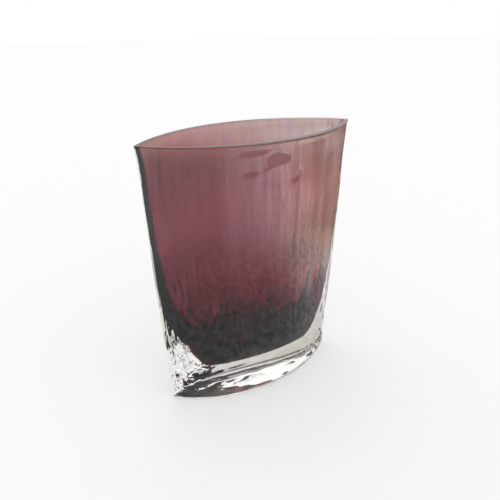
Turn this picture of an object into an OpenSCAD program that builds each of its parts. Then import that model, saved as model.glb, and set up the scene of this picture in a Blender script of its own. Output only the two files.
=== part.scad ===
// Cased glass vase with a leaf-shaped plan, open at the top.
// A thick colourless casing carries a thin amethyst cup that is fused to it.
// Millimetres, +Z up, long axis along X, origin in the middle of the foot.

/* [Overall] */
// Height from the ground foot to the rim
vase_h = 120; // [100:1:150]

/* [Rim] */
// Length of the rim from tip to tip
rim_len = 102.6; // [92:0.2:125]
// Width of the rim across the flanks
rim_w = 47; // [40:0.5:60]
// Radius of the two tips at the rim
rim_tip_r = 1.5; // [1:0.1:4]
// Radius of the fire-polished outer edge of the rim
rim_edge_r = 0.4; // [0.2:0.1:1.4]
// How far the lip flares outwards
lip_flare = 0.7; // [0:0.1:2]
// Height of the band that flares
lip_h = 18; // [8:1:30]

/* [Foot] */
// Length of the foot from tip to tip
foot_len = 88.7; // [80:0.1:92]
// Width of the foot across the flanks
foot_w = 33.6; // [30:0.2:40]
// Radius of the two tips at the foot
foot_tip_r = 1.5; // [1:0.1:4]
// Radius of the softened edge round the ground foot
foot_edge_r = 1.6; // [0.5:0.1:3]

/* [Body] */
// Outward swell of the sides at mid height
belly = 0.6; // [0:0.1:2]
// Clear glass under the cup, from the table to the cup
base_t = 15; // [8:0.5:22]

/* [Casing wall] */
// Clear glass at the rim, through the flank
casing_rim_flank = 3.2; // [2:0.1:4]
// Clear glass at the rim, through a tip
casing_rim_tip = 2.1; // [1.5:0.1:5]
// Clear glass low on the cup, through the flank
casing_low_flank = 4.4; // [3:0.1:5.4]
// Clear glass low on the cup, through a tip
casing_low_tip = 3.4; // [2.5:0.1:8]

/* [Cup] */
// Radius of the cup's tips where it meets the casing
cup_tip_r = 1.8; // [1:0.1:2.5]
// Height over which the cup's ends curve in to its floor
cup_end_h = 66; // [40:1:80]
// How far the cup's ends draw in to the floor
cup_end_in = 18; // [8:0.5:22]
// Fullness of that curve: 1 is a straight slope and 2 a quarter ellipse
cup_end_power = 1.7; // [1.2:0.05:2]
// How far the cup's floor lies off centre, towards -X
cup_offset = 1; // [0:0.5:4]
// Height over which the cup's flanks round into its floor
cup_flank_h = 28; // [16:1:40]
// How far the cup's flanks draw in to the floor
cup_flank_in = 11; // [5:0.5:11.5]

/* [Lining] */
// Amethyst glass at the rim, through the flank
lining_rim_t = 0.5; // [0.4:0.05:1.4]
// Amethyst glass just below the lip
lining_body_t = 1.1; // [0.6:0.1:1.8]
// Amethyst glass low on the cup
lining_low_t = 1.6; // [0.8:0.05:1.9]
// Lining at a tip, as a share of its thickness through the flank
lining_tip_share = 1.2; // [1:0.05:1.6]

/* [Pooled colour] */
// Depth of the amethyst glass that pooled on the floor of the cup
lining_floor_t = 10; // [6:0.5:14]
// Height that the pool climbs at the two ends
pool_end_h = 26; // [14:1:36]
// How far the pool fills the two ends at its floor
pool_end_in = 8; // [4:0.5:12]
// How much blunter the pool makes the two tips at its floor
pool_blunting = 8; // [0:0.5:10]
// Height that the pool climbs along the flanks
pool_flank_h = 10; // [6:1:18]
// How far the pool fills the flanks at its floor
pool_flank_in = 4; // [2:0.5:6.5]

/* [Hidden] */

flank_steps = 25;      // facets along one flank of the leaf
tip_steps = 8;         // facets round one tip
edge_steps = 3;        // facets over a rounded edge
side_steps = 15;       // bands up a side
floor_steps = 7;       // bands up the rounded end of the cup

ring_n = 2 * (flank_steps + tip_steps);
least_tip_r = 0.5;     // tips stay at least this round where an edge draws them in
bluntest = 0.8;        // largest tip radius of the cup, as a share of its half width
lip_z = vase_h - lip_h;
cup_side_z = base_t + cup_flank_h;
cavity_floor_z = base_t + lining_floor_t;
inner_edge_r = lining_rim_t / 2;

function mix(a, b, f) = a + (b - a) * f;
function steps(n) = [for (i = [0:n]) i / n];

// A closed leaf outline at height z: two flank arcs joined by two tangent tip arcs.
// a is the half length, w the half width, r the radius of the tips and middle the centre along X.
function leaf(a, w, r, z, middle = 0) =
    let (drop = (pow(a - r, 2) - pow(w - r, 2)) / (2 * (w - r)),
         flank_r = drop + w,
         sweep = atan2(a - r, drop))
    concat(
        [for (i = [0:tip_steps - 1])
            let (t = mix(sweep - 90, 90 - sweep, i / tip_steps))
            [middle + a - r + r * cos(t), r * sin(t), z]],
        [for (i = [0:flank_steps - 1])
            let (t = mix(sweep, -sweep, i / flank_steps))
            [middle + flank_r * sin(t), flank_r * cos(t) - drop, z]],
        [for (i = [0:tip_steps - 1])
            let (t = mix(90 + sweep, 270 - sweep, i / tip_steps))
            [middle - (a - r) + r * cos(t), r * sin(t), z]],
        [for (i = [0:flank_steps - 1])
            let (t = mix(-sweep, sweep, i / flank_steps))
            [middle + flank_r * sin(t), drop - flank_r * cos(t), z]]);

// Outside of the vase: straight taper, a slight belly and a flaring lip
function swell(z) =
    belly * 4 * (z / vase_h) * (1 - z / vase_h)
    + lip_flare * (pow(max(0, (z - vase_h + lip_h) / lip_h), 2) - z / vase_h);
function outer_a(z) = mix(foot_len, rim_len, z / vase_h) / 2 + swell(z);
function outer_w(z) = mix(foot_w, rim_w, z / vase_h) / 2 + swell(z);
function outer_r(z) = mix(foot_tip_r, rim_tip_r, z / vase_h);

// One outer ring, drawn in by the given amount
function outer_ring(z, inset = 0) =
    leaf(outer_a(z) - inset, outer_w(z) - inset, max(least_tip_r, outer_r(z) - inset), z);

// Share of a full draw-in at height z, from 0 at h above floor_z to 1 at floor_z
function draw_in(z, floor_z, h, power) =
    let (down = min(1, max(0, 1 - (z - floor_z) / h)))
    1 - pow(1 - pow(down, power), 1 / power);

// One ring of the seam where the two glasses meet, or a blunter ring set further in
function seam_ring(z, tip_depth = 0, flank_depth = 0, blunting = 0) =
    let (up = (z - base_t) / (vase_h - base_t),
         drawn = draw_in(z, base_t, cup_end_h, cup_end_power),
         a = outer_a(z) - mix(casing_low_tip, casing_rim_tip, up) - cup_end_in * drawn - tip_depth,
         w = outer_w(z) - mix(casing_low_flank, casing_rim_flank, up)
             - cup_flank_in * draw_in(z, base_t, cup_flank_h, 2) - flank_depth)
    leaf(a, w, min(cup_tip_r + blunting, bluntest * w), z, -cup_offset * drawn);

// One ring of the cavity: thick inside the seam, and further in where the colour pooled
function cavity_ring(z, thick) =
    let (ends = draw_in(z, cavity_floor_z, pool_end_h, cup_end_power),
         flanks = draw_in(z, cavity_floor_z, pool_flank_h, 2))
    seam_ring(z, thick * lining_tip_share + pool_end_in * ends, thick + pool_flank_in * flanks,
              pool_blunting * ends);

// The lining thins upwards, and more quickly within the lip
function lining_t(z) = z > lip_z
    ? mix(lining_body_t, lining_rim_t, (z - lip_z) / lip_h)
    : mix(lining_low_t, lining_body_t, max(0, z - cup_side_z) / (lip_z - cup_side_z));

// Heights of a cup's rings: close together near the floor, then evenly spaced up the side
function cup_heights(floor_z, top_z) = concat(
    [for (i = [0:floor_steps - 1]) mix(cup_side_z, floor_z, cos(90 * i / floor_steps))],
    [for (f = steps(side_steps)) mix(cup_side_z, top_z, f)]);

seam_rings = [for (z = cup_heights(base_t, vase_h)) seam_ring(z)];
cavity_top_z = vase_h - inner_edge_r;
cavity_rings = [for (z = cup_heights(cavity_floor_z, cavity_top_z)) cavity_ring(z, lining_t(z))];
cavity_edge = [for (f = steps(edge_steps))
    if (f > 0)
        let (z = cavity_top_z + inner_edge_r * sin(90 * f))
        cavity_ring(z, lining_t(z) - inner_edge_r * (1 - cos(90 * f)))];

foot_rings = [for (f = steps(edge_steps))
    outer_ring(foot_edge_r * (1 - cos(90 * f)), foot_edge_r * (1 - sin(90 * f)))];
body_rings = [for (f = steps(side_steps))
    if (f > 0) outer_ring(mix(foot_edge_r, lip_z, f))];
lip_rings = [for (f = steps(edge_steps))
    if (f > 0) outer_ring(mix(lip_z, vase_h - rim_edge_r, f))];
rim_rings = [for (f = steps(edge_steps))
    if (f > 0) outer_ring(vase_h - rim_edge_r * (1 - sin(90 * f)), rim_edge_r * (1 - cos(90 * f)))];

function backwards(list) = [for (i = [len(list) - 1:-1:0]) list[i]];

// A closed skin through a run of rings, with a flat face on the first and the last.
// Each quad is cut along the diagonal that climbs, so two skins that share rings match.
module skin(rings) {
    last = len(rings) - 1;
    bands = [for (k = [0:last - 1]) for (i = [0:ring_n - 1])
        let (j = (i + 1) % ring_n,
             a = k * ring_n + i, b = k * ring_n + j,
             c = (k + 1) * ring_n + j, d = (k + 1) * ring_n + i)
        each (rings[k][0][2] <= rings[k + 1][0][2] ? [[a, d, c], [a, c, b]] : [[a, d, b], [b, d, c]])];
    first_face = [for (i = [0:ring_n - 1]) i];
    last_face = [for (i = [ring_n - 1:-1:0]) last * ring_n + i];
    polyhedron(points = [for (r = rings) each r], faces = concat([first_face], bands, [last_face]));
}

module clear_casing() {
    color([0.86, 0.89, 0.87, 0.45])
        skin(concat(foot_rings, body_rings, lip_rings, rim_rings, backwards(seam_rings)));
}

module amethyst_lining() {
    color([0.42, 0.16, 0.27, 0.85])
        skin(concat(seam_rings, backwards(cavity_edge), backwards(cavity_rings)));
}

clear_casing();
amethyst_lining();
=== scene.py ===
"""A heavy cased glass vase: an amethyst cup fused into a colourless casing, leaf-shaped in plan."""
import math

import bpy
import numpy as np
from mathutils import Matrix, Vector, noise


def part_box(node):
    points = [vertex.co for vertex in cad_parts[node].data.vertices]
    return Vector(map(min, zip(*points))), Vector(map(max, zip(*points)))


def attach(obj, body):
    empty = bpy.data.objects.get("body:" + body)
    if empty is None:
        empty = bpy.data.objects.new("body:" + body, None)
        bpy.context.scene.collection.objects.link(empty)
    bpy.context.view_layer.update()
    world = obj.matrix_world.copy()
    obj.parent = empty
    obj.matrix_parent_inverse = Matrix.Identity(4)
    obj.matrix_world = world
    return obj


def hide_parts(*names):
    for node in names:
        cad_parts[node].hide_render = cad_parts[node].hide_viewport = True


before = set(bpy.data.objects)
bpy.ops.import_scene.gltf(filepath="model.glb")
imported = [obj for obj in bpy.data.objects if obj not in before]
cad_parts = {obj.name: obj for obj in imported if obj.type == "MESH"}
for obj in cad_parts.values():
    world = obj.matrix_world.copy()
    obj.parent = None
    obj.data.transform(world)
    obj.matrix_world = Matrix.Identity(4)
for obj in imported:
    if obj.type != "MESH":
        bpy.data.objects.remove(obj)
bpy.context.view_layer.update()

MM = 0.001

# ---------------------------------------------------------------- sizes, in millimetres
VASE_H = (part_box("clear_casing")[1].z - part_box("clear_casing")[0].z) / MM
RIM_LEN = 102.6
RIM_W = 47.0
RIM_TIP_R = 1.5
RIM_EDGE_R = 0.4
LIP_FLARE = 0.7
LIP_H = 18.0
FOOT_LEN = 88.7
FOOT_W = 33.6
FOOT_TIP_R = 1.5
FOOT_EDGE_R = 1.6
FOOT_HOLLOW = 0.5
BELLY = 0.6
BASE_T = 15.0
CASING_RIM_FLANK = 3.2
CASING_RIM_TIP = 2.1
CASING_LOW_FLANK = 4.4
CASING_LOW_TIP = 3.4
CUP_TIP_R = 1.8
CUP_END_H = 66.0
CUP_END_IN = 18.0
CUP_END_POWER = 1.7
CUP_OFFSET = 1.0
CUP_FLANK_H = 28.0
CUP_FLANK_IN = 11.0
LINING_TIP_SHARE = 1.2
LINING_RIM_T = 0.5
LINING_BODY_T = 1.1
LINING_LOW_T = 1.6
LINING_FLOOR_T = 10.0
POOL_END_H = 26.0
POOL_END_IN = 8.0
POOL_BLUNTING = 8.0
POOL_FLANK_H = 10.0
POOL_FLANK_IN = 4.0
CUP_FLOOR_Z = BASE_T + LINING_FLOOR_T
CUP_LEAN = 0.9
FUSED_SKIN = 0.02

# Smallest tip radius of the outside, and the largest of the cup as a share of its half width
LEAST_TIP_R = 0.5
BLUNTEST = 0.8

# x, z, half length, half height, lean and depth
LIP_DENTS = ((-11.8, 118.5, 4.0, 0.9, 0.16, 0.15),
             (-0.8, 116.4, 4.7, 2.7, -0.12, 0.175),
             (-15.0, 110.0, 1.6, 1.2, 0.0, 0.12),
             (6.5, 105.2, 2.2, 1.5, 0.35, 0.16))

# How noise is drawn out: tall, flattened, or the same at every height
UPRIGHT = np.array([1.0, 1.0, 0.16])
LYING = np.array([1.0, 1.0, 2.6])
LEVEL = np.array([1.0, 1.0, 0.0])
COLOUR_EDGE_H = 54.0

# Depths of the worked outside. Three numbers stand for the flanks, the left end and the right end, and
# two for the left end and what lies to the right of it.
SWELLS = 0.20
LIP_ROLLS = 0.08
TOOL_MARKS = 0.09
FURROWS = (0.012, 0.03, 0.22)
DRAWN_LINES = (0.010, 0.02, 0.05)
BARK = (0.42, 0.75)
WRINKLES = 0.13
FOOT_RUCKS = (0.12, 0.30)

# Depths of the seam and of the inside of the cup
SEAM_WANDER = 0.10
SEAM_RIPPLE = 0.05
SEAM_RAGGED = 0.35
COLOUR_LEDGE = 1.0
COLOUR_RUNS = 0.40
THICKER_LEFT = 0.4
THINNER_RIGHT = 0.22
THINNER_ALL_OVER = 0.06
THICKER_BELT = 0.10
THINNER_LOW_LEFT = 0.25

# How finely the skins are divided
FLANK_COLUMNS = 116
TIP_COLUMNS = 34
COLUMN_CROWDING = 0.55
SIDE_ROWS = 165
FOOT_ROWS = 24
CUP_ROWS = 52
CUP_FLOOR_ROWS = 18
EDGE_ROWS = 6


def mix(a, b, f):
    return a + (b - a) * f


def ease(value, start, end):
    """0 below start, 1 above end and a smooth climb between them."""
    f = np.clip((value - start) / (end - start), 0, 1)
    return f * f * (3 - 2 * f)


def band(value, start, full, fade, end):
    """1 from full to fade, with a smooth climb before it and a smooth fall after it."""
    return ease(value, start, full) * (1 - ease(value, fade, end))


# ---------------------------------------------------------------- the vase's leaf-shaped sections

def swell(z):
    """Belly and lip flare, added to the straight taper of the sides."""
    up = z / VASE_H
    lip = max(0.0, (z - VASE_H + LIP_H) / LIP_H)
    return BELLY * 4 * up * (1 - up) + LIP_FLARE * (lip ** 2 - up)


def outer_leaf(z, inset=0.0):
    """Half length, half width and tip radius of the outside at height z."""
    up = z / VASE_H
    return (mix(FOOT_LEN, RIM_LEN, up) / 2 + swell(z) - inset,
            mix(FOOT_W, RIM_W, up) / 2 + swell(z) - inset,
            max(LEAST_TIP_R, mix(FOOT_TIP_R, RIM_TIP_R, up) - inset),
            0.0)


def draw_in(z, floor_z, height, power):
    """Share of the full draw-in at height z, from 0 at height over the floor to 1 on it."""
    down = min(1.0, max(0.0, 1 - (z - floor_z) / height))
    return 1 - (1 - down ** power) ** (1 / power)


def seam_leaf(z, tip_depth=0.0, flank_depth=0.0, blunting=0.0):
    """The leaf of the seam between the two glasses at height z, or a blunter one set further in.

    Its middle leans towards the left tip between the floor and the lip.
    """
    up = (z - BASE_T) / (VASE_H - BASE_T)
    drawn = draw_in(z, BASE_T, CUP_END_H, CUP_END_POWER)
    a, w, _, _ = outer_leaf(z)
    a -= mix(CASING_LOW_TIP, CASING_RIM_TIP, up) + CUP_END_IN * drawn + tip_depth
    w -= mix(CASING_LOW_FLANK, CASING_RIM_FLANK, up) + flank_depth
    w -= CUP_FLANK_IN * draw_in(z, BASE_T, CUP_FLANK_H, 2)
    leaning = CUP_LEAN * ease(z, 34, 62) * (1 - ease(z, 98, 115))
    return a, w, min(CUP_TIP_R + blunting, BLUNTEST * w), -CUP_OFFSET * drawn - leaning


def cup_leaf(z, back=0.0):
    """The inside of the cup at height z: the seam less the lining and the colour pooled on its floor."""
    ends = draw_in(z, CUP_FLOOR_Z, POOL_END_H, CUP_END_POWER)
    flanks = draw_in(z, CUP_FLOOR_Z, POOL_FLANK_H, 2)
    return seam_leaf(z, lining_t(z) * LINING_TIP_SHARE + POOL_END_IN * ends + back,
                     lining_t(z) + POOL_FLANK_IN * flanks + back, POOL_BLUNTING * ends)


def lining_t(z):
    """The colour thins upwards, and more quickly within the lip."""
    side_z = BASE_T + CUP_FLANK_H
    lip_z = VASE_H - LIP_H
    if z > lip_z:
        return mix(LINING_BODY_T, LINING_RIM_T, (z - lip_z) / LIP_H)
    return mix(LINING_LOW_T, LINING_BODY_T, max(0.0, z - side_z) / (lip_z - side_z))


def leaf_ring(a, w, r, middle, z):
    """Points round one leaf: two flank arcs joined by two tangent tip arcs, crowded towards the tips."""
    drop = ((a - r) ** 2 - (w - r) ** 2) / (2 * (w - r))
    flank_r = drop + w
    sweep = math.atan2(a - r, drop)
    steps = np.arange(FLANK_COLUMNS) / FLANK_COLUMNS
    steps = steps - COLUMN_CROWDING * np.sin(2 * math.pi * steps) / (2 * math.pi)
    tip = mix(sweep - math.pi / 2, math.pi / 2 - sweep, np.arange(TIP_COLUMNS) / TIP_COLUMNS)
    flank = mix(sweep, -sweep, steps)
    x = np.concatenate([a - r + r * np.cos(tip), flank_r * np.sin(flank),
                        r - a - r * np.cos(tip), -flank_r * np.sin(flank)])
    y = np.concatenate([r * np.sin(tip), flank_r * np.cos(flank) - drop,
                        -r * np.sin(tip), drop - flank_r * np.cos(flank)])
    return np.column_stack([x + middle, y, np.full_like(x, z)])


# ---------------------------------------------------------------- hand-worked surfaces

def ripple(points, across, along, seed):
    """Smooth noise of about -1 to 1, with its own wavelength round the vase and up it."""
    scale = np.array([across, across, along])
    return np.array([noise.noise(Vector(p) + Vector((seed, 0, 0))) for p in points / scale])


def crease(points, size, seed):
    """Sharp-ridged noise from 0 in the creases to 1 on the swellings between them."""
    return np.abs(ripple(points, size, size * 1.6, seed)) * 2


def outward(rings):
    """Horizontal unit vectors pointing out of the leaf, one for each point of a stack of rings."""
    along = np.roll(rings, -1, axis=1) - np.roll(rings, 1, axis=1)
    out = np.stack([along[..., 1], -along[..., 0], np.zeros_like(along[..., 0])], axis=-1)
    return out / np.linalg.norm(out, axis=-1, keepdims=True)


def press_in(rings, depth):
    """Move every point of a stack of rings into the leaf by its own depth."""
    rings = np.array(rings)
    return list(rings - outward(rings) * depth(rings.reshape(-1, 3)).reshape(*rings.shape[:2], 1))


def tip_share(points, reach):
    """1 at the two sharp ends of the leaf, fading to 0 at reach millimetres along the flanks."""
    z = points[:, 2]
    half = mix(FOOT_LEN, RIM_LEN, z / VASE_H) / 2
    return 1 - ease(half - np.abs(points[:, 0]), 1.5, reach)


def dents(points):
    """The few shallow dents that shaping left under the lip on the front flank."""
    x, y, z = points.T
    total = np.zeros(len(points))
    for dent_x, dent_z, half_len, half_h, lean, depth in LIP_DENTS:
        along = (x - dent_x) / half_len
        over = (z - dent_z - lean * (x - dent_x)) / half_h
        total += depth * np.exp(-0.5 * (along ** 2 + over ** 2))
    return total * (y < 0)


def at_ends(depths, right_end, share):
    """A depth of its own on the flanks and, as share nears 1, at the left and the right end."""
    flank, left, right = depths
    return mix(flank, mix(left, right, right_end), share)


def outside_depth(points):
    """How far the fire-polished outside lies within its true form."""
    x, _, z = points.T
    free = band(z, 0.0, 4.0, VASE_H - 1.3, VASE_H - 0.4)
    low = 1 - ease(z, 20, 46)
    right_end = ease(x, 0, 20)
    swells = SWELLS * (0.5 + 0.5 * ripple(points, 15, 34, 3.1))
    lip_rolls = LIP_ROLLS * ease(z, 80, 104) * (0.5 + 0.5 * ripple(points, 8, 6, 12.3))
    tool_marks = TOOL_MARKS * (0.5 + 0.5 * ripple(points, 4.5, 11, 9.4))
    tool_marks *= mix(0.35, 1.0, tip_share(points, 26))
    furrows = at_ends(FURROWS, right_end, tip_share(points, 28) ** 2)
    furrows *= crease(points * UPRIGHT, 2.2, 15.8)
    drawn_lines = at_ends(DRAWN_LINES, right_end, tip_share(points, 34))
    drawn_lines *= 0.5 + 0.5 * ripple(points, 1.5, 30, 18.8)
    bark = mix(*BARK, right_end) * low * tip_share(points, 17)
    bark *= crease(points, 4.2, 5.5) * 0.75 + crease(points, 1.9, 7.7) * 0.25
    wrinkles = WRINKLES * low * tip_share(points, 46) * ease(x, -30, -10)
    wrinkles *= crease(points * UPRIGHT, 2.6, 24.6)
    foot_rucks = mix(*FOOT_RUCKS, ease(x, -38, -24)) * (1 - ease(z, 6, 15))
    foot_rucks *= crease(points * LYING, 6.5, 2.2)
    worked = dents(points) + swells + lip_rolls + tool_marks + furrows
    return free * (worked + drawn_lines + bark + wrinkles + foot_rucks)


def seam_depth(points):
    """The seam between the two glasses wanders as the gather was drawn out."""
    z = points[:, 2]
    free = band(z, BASE_T, BASE_T + 5, VASE_H - 8, VASE_H - 2)
    ends = tip_share(points, 16)
    ragged = SEAM_RAGGED * ends * (0.5 + ripple(points, 5, 11, 27.0))
    wander = SEAM_WANDER * ripple(points, 7, 40, 21.0) + SEAM_RIPPLE * ripple(points, 2.6, 26, 33.0)
    return free * (wander + ragged)


def cup_depth(points):
    """How far the inside of the cup lies inwards of its true form, where the colour is thicker.

    At the right tip it stands thicker below a ragged edge.
    """
    x, _, z = points.T
    free = 1 - ease(z, VASE_H - 8, VASE_H - 2)
    edge = COLOUR_EDGE_H + 3 * ripple(points * LEVEL, 3.2, 40, 71.0)
    ledge = COLOUR_LEDGE * tip_share(points, 10) * ease(x, 0, 20) * (1 - ease(z, edge - 4.0, edge + 3.0))
    runs = COLOUR_RUNS * (1 - ease(z, 50, 72)) * ripple(points, 2.2, 24, 47)
    uneven = THICKER_LEFT * ease(-x, 5, 42) - THINNER_RIGHT * ease(x, 5, 42)
    uneven = uneven - THINNER_ALL_OVER * (1 + ripple(points, 12, 30, 41.0))
    uneven = uneven + THICKER_BELT * ease(z, 48, 58) * (1 - ease(z, 66, 80))
    low_left = THINNER_LOW_LEFT * ease(-x, 14, 32) * (1 - ease(z, 44, 60))
    return ledge + runs + free * uneven - low_left


def slumped(rings):
    """Colour that ran down the cup's sides stands on its floor in uneven tongues."""
    rings = np.array(rings)
    points = rings.reshape(-1, 3)
    x, _, z = points.T
    run = 3.0 * ripple(points, 5.5, 90, 51.0) + 2.6 * ripple(points, 2.2, 70, 57.0)
    run = run + 1.6 * ripple(points, 1.3, 50, 63.0)
    middle = ease(x, -16, -6) * (1 - ease(x, 14, 24))
    left = ease(-x, 12, 24) * (1 - 0.7 * ease(-x, 25, 34))
    run = run - 1.0 + 4.0 * left + 2.5 * middle
    rings[..., 2] += (run * (1 - ease(z, 30, 60))).reshape(rings.shape[:2])
    return list(rings)


# ---------------------------------------------------------------- skins

def skin(name, rings):
    """A mesh with a closed skin through a run of rings, and a flat face on its first and last."""
    count = len(rings[0])
    here = np.arange(count)
    beside = (here + 1) % count
    faces = []
    for k in range(len(rings) - 1):
        low = k * count
        high = low + count
        faces += np.column_stack([low + here, low + beside, high + beside, high + here]).tolist()
    faces.append(list(range(count - 1, -1, -1)))
    faces.append(list(range((len(rings) - 1) * count, len(rings) * count)))
    mesh = bpy.data.meshes.new(name)
    mesh.from_pydata((np.concatenate(rings) * MM).tolist(), [], faces)
    mesh.shade_smooth()
    piece = bpy.data.objects.new(name, mesh)
    bpy.context.scene.collection.objects.link(piece)
    return piece


def foot_rings():
    """The ground foot: a narrow flat edge round a slightly hollow, uneven middle."""
    shares = np.linspace(0.03, 1, FOOT_ROWS)
    sizes = outer_leaf(0, FOOT_EDGE_R)
    rings = np.array([leaf_ring(*(size * share for size in sizes), 0) for share in shares])
    rolls = ripple(rings.reshape(-1, 3), 9, 9, 61.0).reshape(rings.shape[:2])
    rings[..., 2] = FOOT_HOLLOW * (1 - ease(shares[:, None], 0.55, 0.93)) * (1 + 0.8 * rolls)
    return list(rings)


def outside_rings():
    """Over the rounded foot edge, up the side and over the rim's outer edge."""
    quarter = np.linspace(0, math.pi / 2, EDGE_ROWS + 1)[1:]
    climb = np.linspace(0, 1, SIDE_ROWS + 1)[1:]
    rings = []
    for t in quarter:
        z = FOOT_EDGE_R * (1 - math.cos(t))
        rings.append(leaf_ring(*outer_leaf(z, FOOT_EDGE_R * (1 - math.sin(t))), z))
    for z in mix(FOOT_EDGE_R, VASE_H - RIM_EDGE_R, climb * mix(0.5, 1.0, climb)):
        rings.append(leaf_ring(*outer_leaf(z), z))
    for t in quarter:
        z = VASE_H - RIM_EDGE_R * (1 - math.sin(t))
        rings.append(leaf_ring(*outer_leaf(z, RIM_EDGE_R * (1 - math.cos(t))), z))
    return press_in(rings, outside_depth)


def climb_heights(floor_z, knee, top_z):
    """Heights of a cup's rings: crowded towards its floor up to the knee, then evenly spaced."""
    turns = np.linspace(0, math.pi / 2, CUP_FLOOR_ROWS + 1)[:-1]
    crowded = floor_z + knee * (1 - np.cos(turns))
    return np.concatenate([crowded, np.linspace(floor_z + knee, top_z, CUP_ROWS)])


def seam_rings(top_z):
    """Up the outside of the lining, from the floor of the seam."""
    rings = [leaf_ring(*seam_leaf(z), z) for z in climb_heights(BASE_T, CUP_FLANK_H, top_z)]
    return press_in(rings, seam_depth)


def cup_rings(skin_t):
    """Up the inside of the cup and over its soft rim, skin_t outside the lining's own inner skin."""
    edge_r = LINING_RIM_T / 2
    top_z = VASE_H - edge_r - FUSED_SKIN + skin_t
    heights = climb_heights(CUP_FLOOR_Z, POOL_END_H, top_z)
    rings = slumped(press_in([leaf_ring(*cup_leaf(z, -skin_t), z) for z in heights], cup_depth))
    for t in np.linspace(0, math.pi / 2, EDGE_ROWS + 1)[1:]:
        z = top_z + edge_r * math.sin(t)
        rings.append(leaf_ring(*cup_leaf(z, -skin_t - edge_r * (1 - math.cos(t))), z))
    return rings


def make_clear_casing():
    """The whole glass body: the foot, the outside and the inside of the cup."""
    return skin("clear_casing_glass", foot_rings() + outside_rings() + cup_rings(FUSED_SKIN)[::-1])


def make_amethyst_lining():
    """The coloured layer inside that body, a hair short of its inner skin all round."""
    return skin("amethyst_lining_glass", seam_rings(VASE_H - 2 * FUSED_SKIN) + cup_rings(0.0)[::-1])


# ---------------------------------------------------------------- colours and finishes
WHITE = (1, 1, 1, 1)
PINK_RIM = (0.96, 0.80, 0.78, 1)
# Painted shade for a band round the foot's edge: grey, and near black towards the right
GREY_PAINTED_SHADE = (0.30, 0.26, 0.25, 1)
DARK_PAINTED_SHADE = (0.05, 0.04, 0.04, 1)
GLASS_IOR = 1.5
NO_BENDING = 1.0
CLEAR_PASSES = (0.86, 0.88, 0.80, 1)
CLEAR_DENSITY = 4.0
AMETHYST_PASSES = (0.57, 0.03, 0.235, 1)
AMETHYST_DENSITY = 1420.0
RELIEF_H = 0.01 * MM

# The dark cord in the colour: its place along the vase at 110 mm up, and its lean
CORD_X = -43.6
CORD_LEAN = 0.03

# ---------------------------------------------------------------- shader arithmetic

class Socket:
    """A shader output that takes part in Python arithmetic; every operator adds its Math node."""

    def __init__(self, bench, output):
        self.bench = bench
        self.output = output

    def __add__(self, other):
        return self.bench.maths("ADD", self, other)

    def __radd__(self, other):
        return self.bench.maths("ADD", other, self)

    def __sub__(self, other):
        return self.bench.maths("SUBTRACT", self, other)

    def __rsub__(self, other):
        return self.bench.maths("SUBTRACT", other, self)

    def __mul__(self, other):
        return self.bench.maths("MULTIPLY", self, other)

    def __rmul__(self, other):
        return self.bench.maths("MULTIPLY", other, self)

    def __getitem__(self, name):
        """Another output of the same node."""
        return Socket(self.bench, self.output.node.outputs[name])


class Bench:
    """The node tree of a material or the world."""

    def __init__(self, owner):
        owner.use_nodes = True
        self.tree = owner.node_tree
        self.tree.nodes.clear()

    def node(self, kind, settings, sockets):
        """Add a node: its settings first, then a value or a link for each named socket."""
        made = self.tree.nodes.new(kind)
        for name, value in settings.items():
            setattr(made, name, value)
        for name, value in sockets.items():
            if isinstance(value, Socket):
                self.tree.links.new(value.output, made.inputs[name])
            else:
                made.inputs[name].default_value = value
        return Socket(self, made.outputs[0]) if made.outputs else None

    def maths(self, operation, first, *others):
        return self.node("ShaderNodeMath", {"operation": operation}, dict(enumerate((first, *others))))

    def place(self):
        """Position in the vase's own frame, in millimetres."""
        where = self.node("ShaderNodeTexCoord", {}, {})["Object"]
        return self.node("ShaderNodeVectorMath", {"operation": "SCALE"}, {0: where, "Scale": 1 / MM})

    def parts(self, where):
        """The X, Y and Z of a position."""
        split = self.node("ShaderNodeSeparateXYZ", {}, {"Vector": where})
        return split["X"], split["Y"], split["Z"]

    def product(self, first, second):
        """Two colours or positions multiplied part by part."""
        return self.node("ShaderNodeVectorMath", {"operation": "MULTIPLY"}, {0: first, 1: second})

    def mirrored(self):
        """1 for a ray that glass mirrored, and 0 for one that it let through or for any other."""
        rays = self.node("ShaderNodeLightPath", {}, {})
        return rays["Is Glossy Ray"] * (1 - rays["Is Transmission Ray"])

    def grain(self, where, scale, detail=2.0, roughness=0.5):
        """Noise with the wavelength 1/scale along each axis."""
        return self.node("ShaderNodeTexNoise", {}, {
            "Vector": self.product(where, scale), "Scale": 1.0, "Detail": detail, "Roughness": roughness})

    def ramp(self, value, start, end, low=0.0, high=1.0):
        """A smooth climb from low at start to high at end."""
        return self.node("ShaderNodeMapRange", {"interpolation_type": "SMOOTHSTEP"}, {
            "Value": value, "From Min": start, "From Max": end, "To Min": low, "To Max": high})

    def band(self, value, start, full, fade, end):
        """1 from full to fade, with a smooth climb before it and a smooth fall after it."""
        return self.ramp(value, start, full) * (1 - self.ramp(value, fade, end))

    def blend(self, factor, first, second):
        """The first colour where factor is 0 and the second where it is 1."""
        return self.node("ShaderNodeMix", {"data_type": "RGBA"}, {0: factor, 6: first, 7: second})[2]


def finish_glass(bench, base, roughness, ior, normal, absorb, density):
    """A glass surface round a body that takes up light, by density for each metre."""
    sockets = {"Base Color": base, "Roughness": roughness, "IOR": ior, "Transmission Weight": 1.0}
    if normal:
        sockets["Normal"] = normal
    surface = bench.node("ShaderNodeBsdfPrincipled", {}, sockets)
    volume = bench.node("ShaderNodeVolumeAbsorption", {}, {"Color": absorb, "Density": density})
    bench.node("ShaderNodeOutputMaterial", {}, {"Surface": surface, "Volume": volume})


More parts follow.
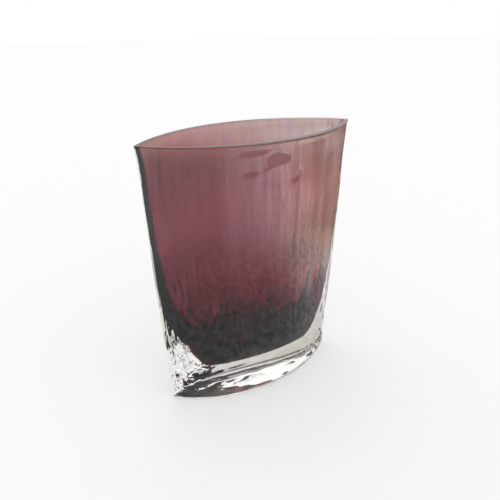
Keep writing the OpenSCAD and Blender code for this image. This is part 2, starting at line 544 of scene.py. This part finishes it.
def clear_glass():
    """Fire-polished colourless glass, with drawn lines, faint smears and a band of painted shade, grey to
    near black, round the foot's edge.
    """
    material = bpy.data.materials.new("fire_polished_clear_glass")
    bench = Bench(material)
    where = bench.place()
    across, _, height = bench.parts(where)
    drawn = bench.grain(where, (0.9, 0.9, 0.035), 3.0, 0.6)
    orange_peel = bench.grain(where, (0.33, 0.33, 0.22), 2.0, 0.5)
    relief = drawn * 0.55 + orange_peel * 0.9
    normal = bench.node("ShaderNodeBump", {}, {"Strength": 1.0, "Distance": RELIEF_H, "Height": relief})
    smears = bench.ramp(bench.grain(where, (0.05, 0.05, 0.03), 5.0, 0.6), 0.45, 0.75, 0.0, 0.035)
    rim = bench.blend(bench.ramp(height, VASE_H - 1.2, VASE_H - 0.3), WHITE, PINK_RIM)
    # The band round the foot's edge where shade is painted, grey on the left and near black on the right
    ground = bench.band(height, 0.8, 1.0, 1.9, 2.3)
    painted_foot_shade = bench.blend(bench.ramp(across, -24, 4), GREY_PAINTED_SHADE, DARK_PAINTED_SHADE)
    rim_tint_and_foot_shade = bench.blend(ground, rim, painted_foot_shade)
    finish_glass(bench, rim_tint_and_foot_shade, smears, GLASS_IOR, normal, CLEAR_PASSES, CLEAR_DENSITY)
    return material


def amethyst_glass():
    """The coloured gather: it bends no light inside the casing and only takes it up, more in its streaks;
    its far wall under the lip is darkened with painted shade.
    """
    material = bpy.data.materials.new("streaky_amethyst_glass")
    bench = Bench(material)
    where = bench.place()
    along, depth, height = bench.parts(where)
    tint = bench.blend(0.8 * bench.ramp(along, 26, 44), WHITE, (1.0, 0.98, 0.64, 1))
    lip = bench.blend(bench.ramp(along, -42, 26), (0.79, 0.81, 0.67, 1), (0.87, 0.97, 0.87, 1))
    lip = bench.blend(bench.ramp(along, 20, 40), lip, (0.77, 0.74, 0.65, 1))
    tint = bench.blend(bench.ramp(height, 84, 114), tint, lip)
    # Painted shade: the far wall under the lip darker and greyer, most towards the left
    far_lip_painted_shade = bench.blend(bench.ramp(along, -42, 26), (0.66, 0.61, 0.49, 1), (0.72, 0.83, 0.71, 1))
    far = bench.ramp(height, 90, 112) * bench.ramp(depth, -2, 2)
    tint = bench.blend(far, tint, far_lip_painted_shade)
    tint = bench.blend(bench.ramp(height, 27, 20), tint, (0.4, 0.58, 0.58, 1))
    patches = bench.ramp(bench.grain(where, (0.12, 0.12, 0.08), 4.0, 0.6), 0.42, 0.58)
    threads = bench.ramp(bench.grain(where, (0.5, 0.5, 0.03), 4.0, 0.7), 0.38, 0.62)
    marks = bench.blend(patches, (1.0, 0.92, 0.97, 1), (1.0, 0.97, 0.91, 1))
    marks = bench.blend(0.17 * threads, marks, (0.62, 0.57, 0.62, 1))
    off_cord = bench.maths("ABSOLUTE", along - CORD_X - CORD_LEAN * (height - 110))
    cord = (1 - bench.ramp(off_cord, 0.1, 0.35)) * bench.ramp(height, 99, 108) * bench.ramp(depth, 0, -1)
    marks = bench.blend(0.75 * cord, marks, (0.25, 0.22, 0.22, 1))
    colour = bench.product(tint, marks)
    finish_glass(bench, colour, 0.0, NO_BENDING, None, AMETHYST_PASSES, AMETHYST_DENSITY)
    return material


# ---------------------------------------------------------------- make the two pieces

casing = make_clear_casing()
lining = make_amethyst_lining()
pieces = ((casing, clear_glass(), "clear_casing", "clear_glass"),
          (lining, amethyst_glass(), "amethyst_lining", "amethyst_glass"))
for piece, material, node, slot in pieces:
    piece.data.materials.append(material)
    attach(piece, "root")
    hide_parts(node)

# ---------------------------------------------------------------- floor, light and camera
FLOOR_HALF = 4.0
FLOOR_Z = -0.1 * MM
BACK_WALL = (0.47, 0.78, 0.42)


def pale_cloth():
    """A pale floor that keeps the vase's shadow.

    To rays that the glass mirrors or bends it is brighter, darker or tinted in places: painted light from
    the front round to the right, and painted shade in front of the vase, to its left and close round it.
    """
    material = bpy.data.materials.new("pale_floor")
    bench = Bench(material)
    where = bench.node("ShaderNodeNewGeometry", {}, {})["Position"]
    x, y, _ = bench.parts(where)
    flat = bench.product(where, (1, 1, 0))
    reach = bench.node("ShaderNodeVectorMath", {"operation": "LENGTH"}, {0: flat})["Value"]
    bearing = bench.maths("ARCTAN2", x, 0 - y)
    turned = bench.node("ShaderNodeCombineXYZ", {}, {"X": bearing, "Y": reach})
    rays = bench.node("ShaderNodeLightPath", {}, {})
    passing = rays["Is Transmission Ray"]
    seen = rays["Is Camera Ray"]
    mirrored = bench.mirrored()

    def turn(start, end, low=0.0, high=1.0):
        """A climb round the vase, in degrees from its front towards its right."""
        return bench.ramp(bearing, math.radians(start), math.radians(end), low, high)

    def sector(start, full, fade, end):
        """1 over a sector round the vase, in the same degrees."""
        return turn(start, full) * (1 - turn(fade, end))

    def away(start, end, low=0.0, high=1.0):
        """A climb away from the vase, in metres."""
        return bench.ramp(reach, start, end, low, high)

    # What the glass mirrors, all painted light on the floor: bright folds from the front round to the right,
    # an even rest, and a lift close by
    bright = 0.45 * turn(-26, -9) + 0.55 * turn(-10, 42)
    bright = bright * (1 - turn(44, 76) * 0.8) * (1 - turn(82, 86))
    folds = bench.ramp(bench.grain(turned, (9, 5, 1), 3.0, 0.6), 0.38, 0.62)
    bright = bright * away(0.085, 0.25) * (2.2 + turn(-10, 60, 0.5, 2.2) * (folds - 0.5))
    bright = bright * bench.ramp(y - 0.2 * x + 0.297, -0.002, 0.004)
    even = away(0.08, 0.20, 0.85, 1.3)
    even = even + 1.5 * (1 - away(0.028, 0.05)) * (1 - 0.8 * bench.ramp(x, 0.0, 0.03))
    even = even + 0.30 * away(0.16, 0.23) * (1 - turn(-36, -10))
    near_right = turn(28, 66) * bench.band(reach, 0.075, 0.115, 0.17, 0.22)
    near_right = near_right * (1 - turn(70, 82) * (1 - away(0.11, 0.14)))
    even = (even + 0.8 * near_right) * (1 - turn(60, 90) * 0.35)

    # Its weave and fine lines, and two sectors of painted shade
    weave = bench.ramp(bench.grain(flat, (150, 150, 1), 3.0, 0.65), 0.33, 0.67)
    lines = bench.ramp(bench.grain(turned, (60, 5, 1), 3.0, 0.6), 0.36, 0.64)
    lines = (lines - 0.5) * turn(38, 56, 0.2, 0.35)
    mirror_light = (even + bright) * (1 - 0.65 * turn(92, 115)) * (0.75 + 0.5 * weave) * (1 + lines)
    aside = sector(44, 56, 68, 84)
    mirror_light = mirror_light * (1 - aside * away(0.26, 0.38, 0.0, 0.65))

    # What shows through the glass, all painted shade: a dark patch in front, striped shade behind the right
    # end, dusk far to the front left, and painted shadow on the cloth close by on the left
    # Painted shade in front of the vase, seen through the glass
    front_painted_shade = bench.band(x, -0.14, -0.10, 0.12, 0.20) * bench.band(0 - y, 0.06, 0.10, 0.19, 0.25)
    stripes = bench.ramp(bench.grain(turned, (14, 1, 1), 2.0, 0.6), 0.42, 0.58)
    shade = sector(110, 116, 134, 140) * (0.15 + 0.35 * stripes) * away(0.09, 0.13)
    dusk = sector(-62, -50, -22, -12) * bench.band(reach, 0.46, 0.56, 1.05, 1.25)
    # Painted shadow on the cloth close by on the left of the vase, seen through the glass
    beside = (1 - away(0.11, 0.17)) * (1 - bench.ramp(x, -0.01, 0.005))
    passed_light = (1 - 0.42 * beside) * (1 - front_painted_shade * 0.78) * (1 - shade) * (1 - 0.94 * dusk)
    strength = mirrored * mirror_light + passing * passed_light

    warm = sector(12, 62, 118, 135) * away(0.11, 0.20)
    far_right = shade * away(0.30, 0.36)
    # Painted shade on the floor close round the vase's right half, seen through the glass, in both its light
    # and its colour
    under = passing * bench.ramp(x, -0.02, 0.03) * (1 - away(0.07, 0.10))
    tint = bench.blend(warm * mirrored, WHITE, (1.0, 0.92, 0.71, 1))
    tint = bench.blend(far_right * passing, tint, (1.0, 0.66, 0.46, 1))
    tint = bench.blend(mirrored * (1 - away(0.03, 0.05)), tint, (1.0, 0.93, 0.86, 1))
    tint = bench.blend(front_painted_shade * passing, tint, (1.0, 0.82, 0.80, 1))
    tint = bench.blend(under, tint, (0.84, 0.82, 0.75, 1))
    light = bench.node("ShaderNodeVectorMath", {"operation": "SCALE"}, {0: tint, "Scale": strength + seen})
    glow = bench.node("ShaderNodeEmission", {}, {"Color": light, "Strength": 1.0})

    # The floor's pale colour, with painted shade close round the vase's right half
    paleness_and_painted_shade = bench.blend(under, (0.96, 0.96, 0.96, 1), (0.75, 0.73, 0.67, 1))
    cloth = bench.node("ShaderNodeBsdfDiffuse", {}, {"Color": paleness_and_painted_shade})
    share = mirrored + passing * away(0.05, 0.09) + seen * 0.4
    shown = bench.node("ShaderNodeMixShader", {}, {0: share, 1: cloth, 2: glow})
    bench.node("ShaderNodeOutputMaterial", {}, {"Surface": shown})
    return material


corners = [(x * FLOOR_HALF, y * FLOOR_HALF, FLOOR_Z) for x, y in ((-1, -1), (1, -1), (1, 1), (-1, 1))]
floor_mesh = bpy.data.meshes.new("floor")
floor_mesh.from_pydata(corners, [], [(0, 1, 2, 3)])
floor_mesh.materials.append(pale_cloth())
floor = bpy.data.objects.new("floor", floor_mesh)
bpy.context.scene.collection.objects.link(floor)


def light_the_room():
    """An even white room whose back wall is warmer where the glass mirrors it."""
    studio = bpy.data.worlds.new("studio")
    bpy.context.scene.world = studio
    bench = Bench(studio)
    towards = bench.node("ShaderNodeTexCoord", {}, {})["Generated"]
    behind = bench.node("ShaderNodeVectorMath", {"operation": "DOT_PRODUCT"}, {0: towards, 1: BACK_WALL})
    toward_wall = bench.mirrored() * bench.ramp(behind["Value"], 0.4, 0.85)
    warmth = bench.blend(toward_wall, WHITE, (0.95, 0.82, 0.80, 1))
    sky = bench.node("ShaderNodeBackground", {}, {"Color": warmth, "Strength": 1.0})
    bench.node("ShaderNodeOutputWorld", {}, {"Surface": sky})


light_the_room()

CAMERA_AZIMUTH = math.radians(-31.36)
CAMERA_ELEVATION = math.radians(24.90)
CAMERA_ROLL = math.radians(-0.305)
CAMERA_DISTANCE = 231.66
AIM_RIGHT = -1.46
AIM_UP = 5.21

back = Vector((math.sin(CAMERA_AZIMUTH) * math.cos(CAMERA_ELEVATION),
               -math.cos(CAMERA_AZIMUTH) * math.cos(CAMERA_ELEVATION), math.sin(CAMERA_ELEVATION)))
right = Vector((math.cos(CAMERA_AZIMUTH), math.sin(CAMERA_AZIMUTH), 0))
up = back.cross(right)
camera_right = right * math.cos(CAMERA_ROLL) + up * math.sin(CAMERA_ROLL)
camera_up = up * math.cos(CAMERA_ROLL) - right * math.sin(CAMERA_ROLL)
camera_data = bpy.data.cameras.new("camera")
camera_data.sensor_width = 36.0
camera_data.lens = 36.0
camera_data.clip_start = 0.01
camera = bpy.data.objects.new("camera", camera_data)
place = Vector((0, 0, VASE_H / 2)) + back * CAMERA_DISTANCE + camera_right * AIM_RIGHT + camera_up * AIM_UP
facing = Matrix((camera_right, camera_up, back)).transposed()
camera.matrix_world = Matrix.Translation(place * MM) @ facing.to_4x4()
bpy.context.scene.collection.objects.link(camera)
bpy.context.scene.camera = camera
bpy.context.scene.view_settings.view_transform = "Standard"
bpy.context.scene.cycles.max_bounces = 32
bpy.context.scene.cycles.transmission_bounces = 32
bpy.context.scene.cycles.glossy_bounces = 16
bpy.context.scene.cycles.transparent_max_bounces = 32
